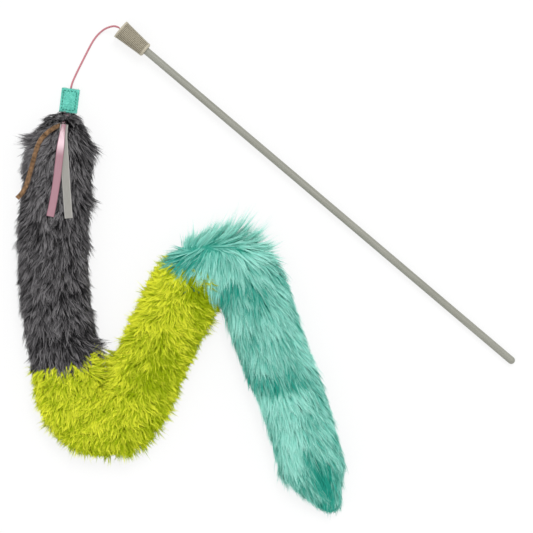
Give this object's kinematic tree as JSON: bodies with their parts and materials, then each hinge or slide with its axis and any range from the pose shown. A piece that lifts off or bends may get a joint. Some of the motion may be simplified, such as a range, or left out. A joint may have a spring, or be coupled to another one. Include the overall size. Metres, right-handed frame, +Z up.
{
  "type": "cat teaser wand",
  "caption": "Cat teaser wand: slim plastic rod with a ribbed end cap, a short cord and a felt tab that carries ribbon tassels and a long soft furry tail in three colours",
  "frame": {"origin": "bottom centre of the box round the wand and its folded tail, free cords left out, on the surface that it lies on", "axes": "+Z up from that surface; the rod runs from the cap, ahead on the left, to the butt, on the right (+X); +Y is ahead"},
  "size_m": [0.4168, 0.4105, 0.0287],
  "materials": {
    "rod_plastic": "smooth satin extruded plastic",
    "cap_plastic": "moulded plastic with turned grip rings",
    "pink_cord": "round elastic braided cord",
    "teal_felt": "dense craft felt",
    "teal_thread": "sewing thread",
    "gray_fur": "faux fur, curly short pile",
    "pink_satin": "satin ribbon",
    "lime_fur": "faux fur, curly short pile",
    "teal_fur": "faux fur, long sleek pile",
    "gray_grosgrain": "grosgrain ribbon",
    "brown_suede": "suede lace"
  },
  "bodies": {
    "wand": {"rod": "rod_plastic", "end_cap": "cap_plastic", "cord_knot": "pink_cord"},
    "cord": {"cord": "pink_cord"},
    "tail_head": {"felt_tab": "teal_felt", "tab_stitches": "teal_thread", "cord_sewn_end": "pink_cord", "gray_sleeve_upper": "gray_fur", "tassel_roots": "pink_satin", "gray_pleats": "gray_fur"},
    "gray_tail": {"gray_sleeve_lower": "gray_fur", "gray_lime_seam": "gray_fur", "lime_sleeve_start": "lime_fur", "elbow_pleat_1": "lime_fur"},
    "elbow_1": {"elbow_sleeve_1": "lime_fur", "elbow_pleat_2": "lime_fur"},
    "elbow_2": {"elbow_sleeve_2": "lime_fur", "elbow_pleat_3": "lime_fur"},
    "lime_tail": {"lime_sleeve": "lime_fur", "lime_teal_seam": "teal_fur", "fold_pleat_1": "teal_fur"},
    "fold_1": {"fold_sleeve_1": "teal_fur", "fold_pleat_2": "teal_fur"},
    "fold_2": {"fold_sleeve_2": "teal_fur", "fold_pleat_3": "teal_fur"},
    "teal_tail": {"teal_sleeve": "teal_fur", "tip_pleats": "teal_fur"},
    "tail_tip": {"tip_sleeve": "teal_fur", "tip_stitches": "teal_thread"},
    "satin_tassel": {"satin_ribbon": "pink_satin"},
    "ribbed_tassel": {"ribbed_ribbon": "gray_grosgrain"},
    "suede_tassel": {"suede_lace": "brown_suede"}
  },
  "joints": [
    {"name": "cord_swing", "type": "hinge", "parent": "wand", "child": "cord", "pos_m": [-0.1232, 0.199, 0.008], "axis": [0, 0, 1], "range_deg": [-60, 10]},
    {"name": "tab_swing", "type": "hinge", "parent": "cord", "child": "tail_head", "pos_m": [-0.1652, 0.1492, 0.008], "axis": [0, 0, 1], "range_deg": [-45, 8]},
    {"name": "gray_bend", "type": "hinge", "parent": "tail_head", "child": "gray_tail", "pos_m": [-0.18126, 0.02463, 0.008], "axis": [0, 0, 1], "range_deg": [-8, 8], "deforming": ["gray_pleats"]},
    {"name": "elbow_crease_1", "type": "hinge", "parent": "gray_tail", "child": "elbow_1", "pos_m": [-0.1624, -0.11434, 0.008], "axis": [0, 0, -1], "range_deg": [0, 46], "deforming": ["elbow_pleat_1"]},
    {"name": "elbow_crease_2", "type": "hinge", "parent": "elbow_1", "child": "elbow_2", "pos_m": [-0.14158, -0.12612, 0.008], "axis": [0, 0, -1], "range_deg": [0, 46], "deforming": ["elbow_pleat_2"]},
    {"name": "elbow_crease_3", "type": "hinge", "parent": "elbow_2", "child": "lime_tail", "pos_m": [-0.11876, -0.11892, 0.008], "axis": [0, 0, -1], "range_deg": [0, 46], "deforming": ["elbow_pleat_3"]},
    {"name": "fold_crease_1", "type": "hinge", "parent": "lime_tail", "child": "fold_1", "pos_m": [-0.06024, -0.01161, 0.008], "axis": [0, 0, 1], "range_deg": [0, 14], "deforming": ["fold_pleat_1"]},
    {"name": "fold_crease_2", "type": "hinge", "parent": "fold_1", "child": "fold_2", "pos_m": [-0.03929, -0.00536, 0.008], "axis": [0, 0, 1], "range_deg": [0, 14], "deforming": ["fold_pleat_2"]},
    {"name": "fold_crease_3", "type": "hinge", "parent": "fold_2", "child": "teal_tail", "pos_m": [-0.01897, -0.01341, 0.008], "axis": [0, 0, 1], "range_deg": [0, 14], "deforming": ["fold_pleat_3"]},
    {"name": "tip_bend", "type": "hinge", "parent": "teal_tail", "child": "tail_tip", "pos_m": [0.01855, -0.10197, 0.008], "axis": [0, 0, 1], "range_deg": [-15, 15], "deforming": ["tip_pleats"]},
    {"name": "satin_swing", "type": "hinge", "parent": "tail_head", "child": "satin_tassel", "pos_m": [-0.1696, 0.1192, 0.008], "axis": [0, 0, 1], "range_deg": [-10, 10]},
    {"name": "ribbed_swing", "type": "hinge", "parent": "tail_head", "child": "ribbed_tassel", "pos_m": [-0.1696, 0.1192, 0.008], "axis": [0, 0, 1], "range_deg": [-10, 10]},
    {"name": "suede_swing", "type": "hinge", "parent": "tail_head", "child": "suede_tassel", "pos_m": [-0.1696, 0.1192, 0.008], "axis": [0, 0, 1], "range_deg": [-8, 10]}
  ],
  "couplings": [
    {"joint": "elbow_crease_2", "follows": "elbow_crease_1", "ratio": 1},
    {"joint": "elbow_crease_3", "follows": "elbow_crease_1", "ratio": 1},
    {"joint": "fold_crease_2", "follows": "fold_crease_1", "ratio": 1},
    {"joint": "fold_crease_3", "follows": "fold_crease_1", "ratio": 1}
  ]
}
